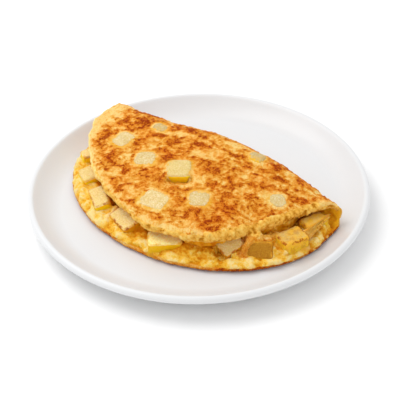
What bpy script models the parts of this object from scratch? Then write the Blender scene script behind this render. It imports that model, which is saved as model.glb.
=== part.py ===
"""Folded potato omelette on its round coupe plate.

The egg is one thick round sheet, folded over along the X axis: a lower leaf on the plate, a
rounded back and an upper leaf that stops short of the lower one, so that the dice show in front.
Origin: middle of the plate's foot, on the surface that it stands on.  +Z up, metres.
"""
import math
import random

import bmesh
import bpy
from mathutils import Matrix, Vector

MM = 0.001
GAP = 0.3 * MM                     # clearance between pieces that touch

# ---- plate -------------------------------------------------------------------------------
PLATE_RADIUS = 130 * MM
PLATE_HEIGHT = 21 * MM
LIP_RADIUS = 2.9 * MM              # the rim is a round bead
LIP_JOIN = math.radians(130)       # turn round the bead at which the wall runs into it
FLOOR_HEIGHT = 9 * MM              # eating surface above the table
FLOOR_RADIUS = 105 * MM            # where the wall starts to rise
PLATE_WALL = 5.2 * MM
FOOT_RADIUS = 78 * MM
FOOT_WIDTH = 5 * MM
FOOT_DEPTH = 2.6 * MM              # how far the foot ring stands below the underside
PLATE_STEPS = 60

# ---- folded egg sheet ----------------------------------------------------------------------
HALF_LENGTH = 107.8 * MM           # along the fold
LOWER_CENTRE_Y, LOWER_DEPTH = 7.7 * MM, 87.6 * MM      # ellipse of the lower leaf's front edge
EDGE_ROUND = 4.5 * MM              # rounding of the sheet's edge
EDGE_FLAT = 0.42                   # part of the thickness left at the very edge

# cross-sections along the fold, in millimetres:
#   x, back of the fold, height, sheet thickness, fall of the upper leaf from crest to edge
SECTIONS = (
    (-108, 44.8, 29.0, 7.6, 1.0),
    (-98, 42.2, 31.0, 8.4, 3.0),
    (-80, 39.0, 33.0, 8.6, 5.0),
    (-50, 38.8, 36.2, 8.8, 8.5),
    (0, 44.5, 38.0, 8.8, 10.5),
    (50, 42.5, 33.0, 8.4, 6.5),
    (85, 35.5, 26.5, 6.8, 3.0),
    (108, 31.5, 22.0, 4.2, 0.5),
)
# front edge of the upper leaf, in millimetres: x, y
UPPER_EDGE = (
    (-108, 8.0), (-96, -13.0), (-70, -40.0), (-40, -58.0), (0, -72.0), (33, -68.5),
    (55, -57.0), (70, -37.5), (85, -9.0), (97, 16.0), (108, 27.0),
)
ROWS_ALONG = 27                    # quads along the fold
ROWS_LEAF = 7                      # quads across each leaf
ROWS_BEND = 10                     # quads around the back

# ---- potato dice ---------------------------------------------------------------------------
UNEVEN = 0.10                      # a corner may lie this much further in
FRONT_CORNER, FRONT_EDGE = 1.6 * MM, 1.0 * MM
TOP_CORNER, TOP_EDGE = 4.0 * MM, 0.9 * MM
# between the leaves, in millimetres and degrees: middle, size, turn, lean, roll
FRONT_DICE = (
    ((-92.8, -17.0, 18.6), (12, 15, 10), -30, 0, 0),
    ((-77.0, -38.5, 17.4), (17, 12, 10), -31, 10, 0),
    ((-50.5, -56.0, 18.0), (24, 13.5, 11), -36, 11, 0),
    ((-18.0, -63.5, 18.0), (24, 17, 12), -22, 16, 0),
    ((19.2, -67.0, 18.0), (25, 16, 11), 40, 5, 0),
    ((60.4, -44.2, 20.0), (15, 6, 18), 23, -50, 44),
    ((80.6, -35.9, 18.6), (18.5, 6.5, 13.5), 25, -32, -4),
    ((93.8, -15.1, 17.8), (17, 21, 14), -21, 0, -1),
    ((95.8, 11.5, 18.2), (12, 20, 10), -20, 0, 0),
)
# pressed into the outer skin, in millimetres and degrees:
#   x, place across the sheet (2 crest, 3 front edge), size, proud, turn, lean
TOP_DICE = (
    (-65.0, 2.454, (17, 18, 7), 0.3, 12, 0),
    (-34.0, 2.506, (18, 17, 7), 0.3, 25, 0),
    (-4.0, 2.440, (19.5, 18, 8), 1.4, 34, 6),
    (0.0, 2.800, (22, 19, 7), 0.4, 8, 0),
    (27.0, 2.635, (17, 17, 7), 0.3, 20, 0),
    (-47.5, 2.060, (14, 10, 6), 0.3, -12, 0),
    (35.0, 1.985, (14, 13, 6), 0.2, 10, 0),
    (72.0, 2.420, (13.5, 14, 5.5), 0.2, 15, 0),
)
# hollow that the egg leaves in front of the third die of the skin, in its own axes
HOLLOW_PLACE = (0.0, -10.0, 0.5)
HOLLOW_SIZE = (21, 9, 9)

# ---- filling -------------------------------------------------------------------------------
FILL_LEFT, FILL_RIGHT = -98 * MM, 84 * MM
FILL_SETBACK = 6 * MM              # behind the upper leaf's front edge
FILL_CLEAR = 0.45 * MM             # between filling and leaves
FILL_ROWS = 14


def smooth(t):
    """0 to 1 with level ends."""
    t = min(max(t, 0.0), 1.0)
    return t * t * (3.0 - 2.0 * t)


def through(stations, x):
    """Smooth curve through stations (x, values...), all in millimetres, read at x in metres."""
    x_mm = min(max(x / MM, stations[0][0]), stations[-1][0])
    last = len(stations) - 1
    i = max(k for k in range(last) if x_mm >= stations[k][0])
    before, low, high, after = (stations[min(max(k, 0), last)] for k in (i - 1, i, i + 1, i + 2))
    width = high[0] - low[0]
    t = (x_mm - low[0]) / width
    values = []
    for b, p, q, a in zip(before[1:], low[1:], high[1:], after[1:]):
        slope_p = (q - b) / max(high[0] - before[0], 1.0) * width
        slope_q = (a - p) / max(after[0] - low[0], 1.0) * width
        value = (p * (1 + 2 * t) * (1 - t) ** 2 + slope_p * t * (1 - t) ** 2
                 + q * t * t * (3 - 2 * t) - slope_q * t * t * (1 - t))
        values.append(value * MM)
    return values


def section(x):
    """Back, height, thickness and fall of the folded sheet at one place along the fold."""
    return through(SECTIONS, x)


def lower_front(x):
    """Front edge of the lower leaf: the near half of an ellipse."""
    u = min(abs(x / (HALF_LENGTH + 0.6 * MM)), 1.0)
    return LOWER_CENTRE_Y - LOWER_DEPTH * math.sqrt(1.0 - u * u)


def lip_point(turn):
    """A point of the bead's outline; turn 0 is outermost, 90 degrees is the crown."""
    out = PLATE_RADIUS - LIP_RADIUS + LIP_RADIUS * math.cos(turn)
    return Vector((out, 0.0, PLATE_HEIGHT - LIP_RADIUS + LIP_RADIUS * math.sin(turn)))


def wall_rise(radius):
    """Height of the plate's upper face above its floor."""
    join = lip_point(LIP_JOIN)
    u = max(radius - FLOOR_RADIUS, 0.0) / (join.x - FLOOR_RADIUS)
    return (join.z - FLOOR_HEIGHT) * u ** 1.9


def middle(x, w):
    """Middle of the sheet: w 0 to 1 lower leaf, 1 to 2 round back, 2 to 3 upper leaf."""
    back, height, thick, fall = section(x)
    reach = 0.5 * height
    centre_y = back - reach
    lower = min(lower_front(x), centre_y - 12 * MM)
    upper = min(through(UPPER_EDGE, x)[0], centre_y - 3 * MM)
    base = FLOOR_HEIGHT + GAP
    if w <= 1.0:
        y = lower + (centre_y - lower) * w
        z = base + 0.5 * thick
    elif w <= 2.0:
        turn = math.pi * (w - 1.5)
        y = centre_y + (reach - 0.5 * thick) * math.cos(turn)
        z = base + 0.5 * height + 0.5 * (height - thick) * math.sin(turn)
    else:
        y = centre_y + (upper - centre_y) * (w - 2.0)
        z = base + height - 0.5 * thick - fall * (w - 2.0) ** 1.5
    return Vector((x, y, z))


def sheet_point(x, w, side, edge=1.0):
    """A point of the folded sheet: side -1 is the outer skin, +1 the inner skin."""
    step = 0.004
    centre = middle(x, w)
    run = (middle(x, min(w + step, 3.0)) - middle(x, max(w - step, 0.0))).normalized()
    inward = Vector((0.0, -run.z, run.y))
    thick = section(x)[2] * (EDGE_FLAT + (1.0 - EDGE_FLAT) * math.sqrt(1.0 - (1.0 - edge) ** 2))
    point = centre + inward * (0.5 * thick * side)
    lift = wall_rise(math.hypot(point.x, point.y) + 0.6 * MM)
    above = (point.z - FLOOR_HEIGHT) / section(x)[1]
    point.z += lift * max(1.0 - above, 0.0)
    return point


# ---- helpers that make objects -----------------------------------------------------------------

def clear_scene():
    for thing in list(bpy.data.objects):
        bpy.data.objects.remove(thing, do_unlink=True)


def material(name, colour, roughness):
    finish = bpy.data.materials.new(name)
    finish.use_nodes = True
    shader = finish.node_tree.nodes["Principled BSDF"]
    shader.inputs["Base Color"].default_value = (*colour, 1.0)
    shader.inputs["Roughness"].default_value = roughness
    shader.inputs["Metallic"].default_value = 0.0
    return finish


def new_object(name, bm, finish):
    mesh = bpy.data.meshes.new(name)
    bmesh.ops.recalc_face_normals(bm, faces=bm.faces)
    bm.to_mesh(mesh)
    bm.free()
    mesh.shade_smooth()
    mesh.set_sharp_from_angle(angle=math.radians(40))
    thing = bpy.data.objects.new(name, mesh)
    bpy.context.scene.collection.objects.link(thing)
    if finish is not None:
        mesh.materials.append(finish)
    return thing


def cut(target, cutter):
    """Take the cutter's shape out of the target."""
    cutter.hide_render = True
    cutter.display_type = 'WIRE'
    boolean = target.modifiers.new(cutter.name, 'BOOLEAN')
    boolean.operation = 'DIFFERENCE'
    boolean.solver = 'EXACT'
    boolean.object = cutter


# ---- plate -----------------------------------------------------------------------------------

def plate_profile():
    """Outline of the plate's wall from the middle of the underside round to the middle of the top."""
    foot_in = FOOT_RADIUS - FOOT_WIDTH
    under = FLOOR_HEIGHT - PLATE_WALL
    points = [Vector((0.0, 0.0, under))]
    points.append(Vector((foot_in - 3 * MM, 0.0, under)))
    points.append(Vector((foot_in, 0.0, 0.0)))
    points.append(Vector((FOOT_RADIUS, 0.0, 0.0)))
    points.append(Vector((FOOT_RADIUS + 1.5 * MM, 0.0, FOOT_DEPTH)))
    turn_from = math.radians(-40)
    last = lip_point(turn_from)
    first = points[-1]
    for i in range(1, 5):
        t = i / 5
        radius = first.x + (last.x - first.x) * t
        points.append(Vector((radius, 0.0, first.z + (last.z - first.z) * t ** 2.3)))
    for i in range(7):
        points.append(lip_point(turn_from + (LIP_JOIN - turn_from) * i / 6))
    wall_top = points[-1].x
    for i in range(1, 8):
        radius = wall_top + (FLOOR_RADIUS - wall_top) * (i / 7) ** 0.8
        points.append(Vector((radius, 0.0, FLOOR_HEIGHT + wall_rise(radius))))
    points.append(Vector((0.0, 0.0, FLOOR_HEIGHT)))
    return points


def make_plate(finish):
    bm = bmesh.new()
    verts = [bm.verts.new(p) for p in plate_profile()]
    edges = [bm.edges.new(pair) for pair in zip(verts, verts[1:])]
    bmesh.ops.spin(bm, geom=verts + edges, cent=(0, 0, 0), axis=(0, 0, 1), dvec=(0, 0, 0),
                   angle=math.tau, steps=PLATE_STEPS, use_merge=True)
    bmesh.ops.remove_doubles(bm, verts=bm.verts, dist=0.01 * MM)
    return new_object("plate", bm, finish)


# ---- folded egg --------------------------------------------------------------------------------

def across(v):
    """Row position 0..1 across the sheet to w 0..3, with closer rows at the two edges."""
    rows = 2 * ROWS_LEAF + ROWS_BEND
    row = round(v * rows)
    if row <= ROWS_LEAF:
        return 1.0 - math.cos(0.5 * math.pi * row / ROWS_LEAF)
    if row <= ROWS_LEAF + ROWS_BEND:
        return 1.0 + (row - ROWS_LEAF) / ROWS_BEND
    return 3.0 - (1.0 - math.cos(0.5 * math.pi * (rows - row) / ROWS_LEAF))


def edge_distance(x, w):
    """How far a point of the sheet lies from the sheet's rim."""
    end = HALF_LENGTH - abs(x)
    if w <= 1.0:
        return min(end, (middle(x, 1.0) - middle(x, 0.0)).length * w)
    if w >= 2.0:
        return min(end, (middle(x, 3.0) - middle(x, 2.0)).length * (3.0 - w))
    return end


def make_egg(finish):
    bm = bmesh.new()
    bmesh.ops.create_grid(bm, x_segments=ROWS_ALONG, y_segments=2 * ROWS_LEAF + ROWS_BEND, size=1.0)
    inner = bmesh.ops.extrude_face_region(bm, geom=list(bm.faces), use_keep_orig=True)
    for item in inner["geom"]:
        if isinstance(item, bmesh.types.BMVert):
            item.co.z = 1.0
    for vert in bm.verts:
        x = HALF_LENGTH * math.sin(0.965 * 0.5 * math.pi * vert.co.x)
        w = across(0.5 * (vert.co.y + 1.0))
        side = 1.0 if vert.co.z > 0.5 else -1.0
        edge = min(max(edge_distance(x, w) - 0.2 * MM, 0.0) / EDGE_ROUND, 1.0)
        vert.co = sheet_point(x, w, side, edge)
    return new_object("egg_fold", bm, finish)


# ---- potato dice -------------------------------------------------------------------------------

def die_mesh(size, seed, upright_round, edge_round, grow=0.0):
    """One cut potato piece about its own middle: a cube with uneven corners and rounded edges."""
    rng = random.Random(seed)
    bm = bmesh.new()
    bmesh.ops.create_cube(bm, size=1.0)
    for vert in bm.verts:
        for axis in range(3):
            vert.co[axis] *= size[axis] * (1.0 - UNEVEN * rng.random())
    upright = [e for e in bm.edges if abs(e.verts[0].co.z - e.verts[1].co.z) > 0.5 * size[2]]
    bmesh.ops.bevel(bm, geom=upright, offset=upright_round, segments=2, profile=0.5,
                    affect='EDGES', material=-1)
    rims = [e for e in bm.edges if e.verts[0].co.z * e.verts[1].co.z > 0.0]
    rims = [e for e in rims if e.calc_face_angle() > math.radians(50)]
    bmesh.ops.bevel(bm, geom=rims, offset=edge_round, segments=1, profile=0.5,
                    affect='EDGES', material=-1)
    scale = [1.0 + 2.0 * grow / side for side in size]
    bmesh.ops.scale(bm, vec=scale, verts=bm.verts)
    return bm


def make_die(name, place, size, seed, rounding, finish):
    """The die itself, and a slightly larger one that cuts its seat in the egg."""
    die = new_object(name, die_mesh(size, seed, *rounding), finish)
    seat = new_object(name + "_seat", die_mesh(size, seed, *rounding, grow=GAP), None)
    for thing in (die, seat):
        thing.matrix_world = place
    seat.hide_render = True
    seat.display_type = 'WIRE'
    return seat


def front_place(centre, turn, lean, roll):
    """Placing of a front die: turned about Z, leaned back about its own X, rolled in its face."""
    return (Matrix.Translation(Vector(centre) * MM)
            @ Matrix.Rotation(math.radians(turn), 4, 'Z')
            @ Matrix.Rotation(math.radians(lean), 4, 'X')
            @ Matrix.Rotation(math.radians(roll), 4, 'Y'))


def top_place(x, w, depth, proud, turn, lean):
    """Placing of a die pressed into the outer skin of the upper leaf."""
    point = sheet_point(x, w, -1.0)
    along = (sheet_point(x + 2 * MM, w, -1.0) - sheet_point(x - 2 * MM, w, -1.0)).normalized()
    fore = (sheet_point(x, w + 0.03, -1.0) - sheet_point(x, w - 0.03, -1.0)).normalized()
    out = fore.cross(along).normalized()
    fore = along.cross(out)
    frame = Matrix((along, -fore, out)).transposed().to_4x4()
    centre = point + out * (proud - 0.5 * depth)
    return (Matrix.Translation(centre) @ frame @ Matrix.Rotation(math.radians(turn), 4, 'Z')
            @ Matrix.Rotation(math.radians(lean), 4, 'X'))


def make_hollow(place):
    """Cutter for the small hollow in front of a die of the skin."""
    bm = bmesh.new()
    bmesh.ops.create_icosphere(bm, subdivisions=2, radius=0.5)
    bmesh.ops.scale(bm, vec=Vector(HOLLOW_SIZE) * MM, verts=bm.verts)
    bmesh.ops.translate(bm, vec=Vector(HOLLOW_PLACE) * MM, verts=bm.verts)
    hollow = new_object("hollow", bm, None)
    hollow.matrix_world = place
    return hollow


def make_dice(finish):
    front_seats = []
    for i, (centre, size, turn, lean, roll) in enumerate(FRONT_DICE, start=1):
        place = front_place(centre, turn, lean, roll)
        size = [side * MM for side in size]
        front_seats.append(make_die(f"potato_front_{i}", place, size, 40 + i,
                                    (FRONT_CORNER, FRONT_EDGE), finish))
    top_seats = []
    for i, (x, w, size, proud, turn, lean) in enumerate(TOP_DICE, start=1):
        size = [side * MM for side in size]
        place = top_place(x * MM, w, size[2], proud * MM, turn, lean)
        top_seats.append(make_die(f"potato_top_{i}", place, size, 70 + i,
                                  (TOP_CORNER, TOP_EDGE), finish))
    top_seats.append(make_hollow(top_seats[2].matrix_world))
    return front_seats, top_seats


# ---- filling between the leaves ------------------------------------------------------------------

def make_filling(finish):
    """Soft egg and potato that runs through the fold, from the left end to the open right end."""
    bm = bmesh.new()
    bmesh.ops.create_grid(bm, x_segments=FILL_ROWS, y_segments=7, size=1.0)
    top = bmesh.ops.extrude_face_region(bm, geom=list(bm.faces), use_keep_orig=True)
    for item in top["geom"]:
        if isinstance(item, bmesh.types.BMVert):
            item.co.z = 1.0
    for vert in bm.verts:
        x = FILL_LEFT + (FILL_RIGHT - FILL_LEFT) * 0.5 * (vert.co.x + 1.0)
        back, height, thick, fall = section(x)
        reach = 0.5 * height - thick - FILL_CLEAR
        centre_y = back - 0.5 * height
        front = min(through(UPPER_EDGE, x)[0] + FILL_SETBACK, centre_y - 6 * MM)
        v = 0.5 * (vert.co.y + 1.0)
        y = front + (centre_y + 0.9 * reach - front) * v
        half = reach
        if y > centre_y:
            half = reach * math.sqrt(1.0 - ((y - centre_y) / reach) ** 2)
        upper = min((centre_y - y) / (centre_y - front), 1.0)
        leaf = (centre_y - y) / (centre_y - min(through(UPPER_EDGE, x)[0], centre_y - 3 * MM))
        middle_z = FLOOR_HEIGHT + GAP + 0.5 * height
        lift = wall_rise(math.hypot(x, y) + 0.6 * MM)
        if vert.co.z > 0.5:
            z = middle_z + half - (fall * leaf ** 1.5 if upper > 0.0 else 0.0)
        else:
            z = middle_z - half
        z += lift * max(1.0 - (z - FLOOR_HEIGHT) / height, 0.0)
        vert.co = (x, y, z)
    return new_object("filling", bm, finish)


def main():
    clear_scene()
    porcelain = material("plate glaze", (0.86, 0.86, 0.85), 0.12)
    egg = material("egg", (0.80, 0.50, 0.13), 0.5)
    soft_egg = material("soft egg filling", (0.86, 0.55, 0.12), 0.4)
    potato = material("potato", (0.80, 0.66, 0.28), 0.45)
    make_plate(porcelain)
    sheet = make_egg(egg)
    filling = make_filling(soft_egg)
    front_seats, top_seats = make_dice(potato)
    for seat in front_seats:
        cut(sheet, seat)
        cut(filling, seat)
    for seat in top_seats:
        cut(sheet, seat)


main()
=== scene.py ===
# %% [markdown]
# # A folded potato omelette on its plate
#
# The solid model gives the true forms and places: one round coupe plate, the egg sheet folded
# over, the filling between its leaves and seventeen potato dice.  This lesson gives each of them
# its real surface.  Everything is in metres, in the frame of that model, so nothing is fitted.

# %% Load the fixed frame
import math
import random

import bmesh
import bpy
import numpy as np
from mathutils import Matrix, Vector, noise
from mathutils.bvhtree import BVHTree


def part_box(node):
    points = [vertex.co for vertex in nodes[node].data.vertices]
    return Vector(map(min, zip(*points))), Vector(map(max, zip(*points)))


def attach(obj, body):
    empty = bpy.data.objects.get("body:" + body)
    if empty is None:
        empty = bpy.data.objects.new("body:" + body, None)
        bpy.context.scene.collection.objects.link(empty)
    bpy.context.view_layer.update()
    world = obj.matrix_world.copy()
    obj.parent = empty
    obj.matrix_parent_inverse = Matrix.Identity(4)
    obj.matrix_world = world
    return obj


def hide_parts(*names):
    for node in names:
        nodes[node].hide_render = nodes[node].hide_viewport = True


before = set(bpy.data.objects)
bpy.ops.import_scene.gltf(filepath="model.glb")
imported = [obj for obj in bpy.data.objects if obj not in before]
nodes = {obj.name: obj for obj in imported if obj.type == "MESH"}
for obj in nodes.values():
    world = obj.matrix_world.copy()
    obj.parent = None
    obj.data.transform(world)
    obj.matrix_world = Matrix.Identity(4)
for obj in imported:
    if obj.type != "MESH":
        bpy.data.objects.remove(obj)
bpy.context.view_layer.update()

MM = 0.001

# %% [markdown]
# ## Camera
#
# A long lens from a little under a metre keeps the plate's ellipse calm.  The view is set by two
# angles: how far the camera has walked round the object and how steeply it looks down.  A camera
# looks along its own -Z axis, so a track quaternion turns it, which is simpler than working out
# three Euler angles.

# %% Camera
VIEW_TURN = math.radians(37.0)        # walked round from straight in front of the fold
VIEW_RISE = math.radians(36.8)        # looking down
VIEW_ROLL = math.radians(1.37)        # the camera was held very slightly tilted
VIEW_DISTANCE = 0.90
LENS, SENSOR = 106.5, 36.0
FRAME_SHIFT = (0.00425, -0.040)       # slides the frame, so that the plate sits a little low
plate_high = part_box("plate")[1]
aim = Vector((0.0, 0.0, plate_high.z))
away = Vector((math.sin(VIEW_TURN) * math.cos(VIEW_RISE),
               -math.cos(VIEW_TURN) * math.cos(VIEW_RISE), math.sin(VIEW_RISE)))
camera_data = bpy.data.cameras.new("camera")
camera_data.lens = LENS
camera_data.sensor_width = SENSOR
camera_data.shift_x, camera_data.shift_y = FRAME_SHIFT
camera_data.clip_start = 0.05
camera = bpy.data.objects.new("camera", camera_data)
turned = away.to_track_quat('Z', 'Y').to_matrix().to_4x4() @ Matrix.Rotation(-VIEW_ROLL, 4, 'Z')
camera.matrix_world = Matrix.Translation(aim + away * VIEW_DISTANCE) @ turned
bpy.context.scene.collection.objects.link(camera)
bpy.context.scene.camera = camera
bpy.context.scene.view_settings.view_transform = 'Standard'
print("camera at", [round(v, 3) for v in camera.matrix_world.translation])

# %% [markdown]
# ## Light and floor
#
# The light is a white tent: a bright even surround, and one large soft lamp up to the left and
# a little behind, which leaves the soft shadow at the front right.  Three or four lamps could
# give the same even light, but they would each leave a highlight of their own on the glaze.

# %% Light
SURROUND = 0.92                       # strength of the even white surround
LAMP_POWER = 7.2
LAMP_SIZE = 0.9
LAMP_LEFT, LAMP_BEHIND, LAMP_HEIGHT = 0.62, 0.22, 1.15    # as seen by the camera
world = bpy.data.worlds.new("white tent")
world.use_nodes = True
world.node_tree.nodes["Background"].inputs["Color"].default_value = (1.0, 1.0, 1.0, 1.0)
world.node_tree.nodes["Background"].inputs["Strength"].default_value = SURROUND
bpy.context.scene.world = world
to_left = Vector((-math.cos(VIEW_TURN), -math.sin(VIEW_TURN), 0.0))
to_back = Vector((-math.sin(VIEW_TURN), math.cos(VIEW_TURN), 0.0))
lamp_place = to_left * LAMP_LEFT + to_back * LAMP_BEHIND + Vector((0.0, 0.0, LAMP_HEIGHT))
lamp_data = bpy.data.lights.new("key lamp", 'AREA')
lamp_data.shape = 'SQUARE'
lamp_data.size = LAMP_SIZE
lamp_data.energy = LAMP_POWER
lamp = bpy.data.objects.new("key lamp", lamp_data)
aimed = lamp_place.to_track_quat('Z', 'Y').to_matrix().to_4x4()
lamp.matrix_world = Matrix.Translation(lamp_place) @ aimed
bpy.context.scene.collection.objects.link(lamp)
print("lamp at", [round(v, 3) for v in lamp_place])

# %% [markdown]
# The floor is a wide disc of matt white paper.  It is so pale that it turns white wherever no
# shadow falls, so its edge and the horizon don't show.

# %% Floor
FLOOR_DISC = 4.0
PAPER = (0.95, 0.95, 0.95, 1.0)
bm = bmesh.new()
bmesh.ops.create_circle(bm, cap_ends=True, segments=96, radius=FLOOR_DISC)
floor_mesh = bpy.data.meshes.new("floor")
bm.to_mesh(floor_mesh)
bm.free()
floor = bpy.data.objects.new("floor", floor_mesh)
bpy.context.scene.collection.objects.link(floor)
paper = bpy.data.materials.new("white paper")
paper.use_nodes = True
paper_shader = paper.node_tree.nodes["Principled BSDF"]
paper_shader.inputs["Base Color"].default_value = PAPER
paper_shader.inputs["Roughness"].default_value = 0.9
paper_shader.inputs["Specular IOR Level"].default_value = 0.0
floor_mesh.materials.append(paper)
print("floor disc of", FLOOR_DISC, "m radius")

# %% [markdown]
# ## Helpers for materials
#
# A node material is a small graph.  `Graph` saves typing: `add` makes a node and sets its
# sockets, where a value that is itself a socket becomes a link.  `span` is a smooth step from
# one value to another, `mix` blends two colours, and `finish` sets the shader's own sockets.

# %% A small node graph helper
class Graph:
    """A node material with a Principled shader, built by name."""

    def __init__(self, name):
        self.material = bpy.data.materials.new(name)
        self.material.use_nodes = True
        self.tree = self.material.node_tree
        self.shader = self.tree.nodes["Principled BSDF"]
        self.place = self.add("ShaderNodeTexCoord").outputs["Object"]

    def put(self, node, socket, value):
        if isinstance(value, bpy.types.NodeSocket):
            self.tree.links.new(value, node.inputs[socket])
        else:
            node.inputs[socket].default_value = value

    def add(self, kind, settings=None, **sockets):
        node = self.tree.nodes.new(kind)
        for name, value in (settings or {}).items():
            setattr(node, name, value)
        for socket, value in sockets.items():
            self.put(node, socket.replace("_", " "), value)
        return node

    def attribute(self, name):
        return self.add("ShaderNodeAttribute", {"attribute_name": name}).outputs["Fac"]

    def noise(self, size, detail=3.0, rough=0.5):
        """Noise whose features are about `size` metres across."""
        return self.add("ShaderNodeTexNoise", {"noise_dimensions": '3D'}, Vector=self.place,
                        Scale=1.0 / size, Detail=detail, Roughness=rough).outputs["Fac"]

    def math(self, operation, a, b=0.0, c=0.0, clamp=False):
        node = self.add("ShaderNodeMath", {"operation": operation, "use_clamp": clamp})
        for i, value in enumerate((a, b, c)):
            self.put(node, i, value)
        return node.outputs[0]

    def ruffled(self, value, texture, amount, clamp=False):
        """A value with a noise texture added to it, where 0.5 in the noise changes nothing."""
        return self.math('MULTIPLY_ADD', self.math('SUBTRACT', texture, 0.5), amount, value, clamp)

    def ramp(self, value, stops):
        """Colours along a value: stops are (position, colour)."""
        node = self.add("ShaderNodeValToRGB", Fac=value)
        elements = node.color_ramp.elements
        while len(elements) < len(stops):
            elements.new(0.5)
        for element, (position, colour) in zip(elements, stops):
            element.position = position
            element.color = (*colour, 1.0)
        return node.outputs["Color"]

    def mix(self, share, a, b, blend='MIX'):
        node = self.add("ShaderNodeMix", {"data_type": 'RGBA', "blend_type": blend})
        self.put(node, 0, share)
        self.put(node, 6, a if isinstance(a, bpy.types.NodeSocket) else (*a, 1.0))
        self.put(node, 7, b if isinstance(b, bpy.types.NodeSocket) else (*b, 1.0))
        return node.outputs[2]

    def span(self, value, low, high, to_low=0.0, to_high=1.0):
        return self.add("ShaderNodeMapRange", {"interpolation_type": 'SMOOTHSTEP'}, Value=value,
                        From_Min=low, From_Max=high, To_Min=to_low, To_Max=to_high).outputs["Result"]

    def bump(self, height, distance, strength):
        node = self.add("ShaderNodeBump", Height=height, Distance=distance, Strength=strength)
        return node.outputs["Normal"]

    def finish(self, **sockets):
        for socket, value in sockets.items():
            self.put(self.shader, socket.replace("_", " "), value)
        return self.material


print("a graph can", ", ".join(word for word in vars(Graph) if not word.startswith("_")))

# %% [markdown]
# ## Helpers for meshes
#
# A node of the solid model is a set of loose triangles, so a copy is welded before it is worked
# on.  A voxel remesh then gives an even, fine skin that can carry relief.  Modifiers are applied
# at once, so that what follows works on real points.

# %% Mesh helpers
WELD = 0.02 * MM


def new_piece(name, bm):
    mesh = bpy.data.meshes.new(name)
    bm.to_mesh(mesh)
    bm.free()
    piece = bpy.data.objects.new(name, mesh)
    bpy.context.scene.collection.objects.link(piece)
    return piece


def welded_copy(node, name):
    """A copy of a node of the solid model, with its triangles joined."""
    bm = bmesh.new()
    bm.from_mesh(nodes[node].data)
    bmesh.ops.remove_doubles(bm, verts=bm.verts, dist=WELD)
    return new_piece(name, bm)


def apply_modifiers(piece):
    """Replaces the piece's mesh by what its modifiers make of it."""
    graph = bpy.context.evaluated_depsgraph_get()
    made = bpy.data.meshes.new_from_object(piece.evaluated_get(graph))
    old = piece.data
    piece.modifiers.clear()
    piece.data = made
    bpy.data.meshes.remove(old)
    made.name = piece.name


def remesh(piece, voxel, smoothing):
    """Even quads of one size, then a few rounds of smoothing."""
    remesher = piece.modifiers.new("remesh", 'REMESH')
    remesher.mode = 'VOXEL'
    remesher.voxel_size = voxel
    smoother = piece.modifiers.new("smooth", 'SMOOTH')
    smoother.factor = 0.5
    smoother.iterations = smoothing
    apply_modifiers(piece)


print("the solid model has", len(nodes), "nodes")

# %% [markdown]
# The relief is worked out for all points of a piece at once, as arrays of numbers, which is far
# quicker than a loop in Python.  So three helpers read the points, move them and store a number
# for each, and a fourth gives the piece its finish.

# %% Point helpers
def read_points(piece, what):
    """An array with a row for each point: its place ("co") or its normal ("normal")."""
    flat = np.empty(len(piece.data.vertices) * 3, np.float32)
    piece.data.vertices.foreach_get(what, flat)
    return flat.reshape(-1, 3).astype(float)


def move_points(piece, points):
    piece.data.vertices.foreach_set("co", points.astype(np.float32).ravel())
    piece.data.update()


def store(piece, name, values):
    """Keeps one number for each point, which the material can read."""
    layer = piece.data.attributes.get(name) or piece.data.attributes.new(name, 'FLOAT', 'POINT')
    layer.data.foreach_set("value", np.asarray(values, np.float32))


def finish_piece(piece, finish, node):
    """Gives a piece its finish, hangs it on the root body and hides the node that it stands for."""
    piece.data.materials.clear()
    piece.data.materials.append(finish)
    piece.data.shade_smooth()
    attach(piece, "root")
    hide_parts(node)
    print(piece.name, len(piece.data.polygons), "faces")


print("points of the solid plate", len(read_points(nodes["plate"], "co")))

# %% [markdown]
# Relief and browning come from noise that is read at each point.  `cloud` is soft fractal
# noise, and `cells` gives the distance to the nearest seed, which makes curds.  Both take a size
# in metres, and a stretch that draws their features out along an axis.  A displacement texture
# in the material could do the same in the picture, but the exported mesh would stay smooth.

# %% Noise fields
def cloud(points, size, octaves=3, seed=0.0, stretch=(1.0, 1.0, 1.0)):
    """Soft noise from about -1 to 1 with features of the given size."""
    shift = Vector((13.1, 7.7, 3.3)) * seed
    scaled = points / (size * np.array(stretch))
    return np.array([noise.fractal(Vector(p) + shift, 0.9, 2.1, octaves) for p in scaled]) * 1.4


def cells(points, size, seed=0.0):
    """0 at the seeds of the cells, about 1 on the walls between them."""
    shift = Vector((5.9, 17.3, 11.1)) * seed
    found = [noise.voronoi(Vector(p) + shift)[0] for p in points / size]
    return np.array([min(d[0] / max(d[1], 1e-6), 1.0) for d in found])


def ease(values, low, high):
    """0 below low, 1 above high, and a smooth step between."""
    t = np.clip((values - low) / (high - low), 0.0, 1.0)
    return t * t * (3.0 - 2.0 * t)


print("cloud at three points:", cloud(np.eye(3) * 5 * MM, 4 * MM).round(2))

# %% [markdown]
# ## The plate
#
# A coupe plate has no flat rim: its floor sweeps up into a wall that ends in a round bead, and
# it stands on a foot ring.  It is a turned piece, so half its cross-section is spun round the
# Z axis.  The profile has the sizes of the solid model and many more points.

# %% Plate: outline
FLOOR_HEIGHT = 9.0 * MM
FLOOR_RADIUS = 105.0 * MM
PLATE_WALL = 5.2 * MM
LIP = 2.9 * MM                        # radius of the bead
LIP_JOIN = math.radians(130)          # turn round the bead at which the wall runs into it
UNDER_JOIN = math.radians(-40)        # the same for the underside
FOOT_RADIUS, FOOT_WIDTH, FOOT_DEPTH = 78.0 * MM, 5.0 * MM, 2.6 * MM
plate_radius = float(plate_high.x)


def lip_point(turn):
    """A point of the bead's outline; turn 0 is outermost, 90 degrees is the crown."""
    return Vector((plate_radius - LIP + LIP * math.cos(turn), 0.0,
                   plate_high.z - LIP + LIP * math.sin(turn)))


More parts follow.
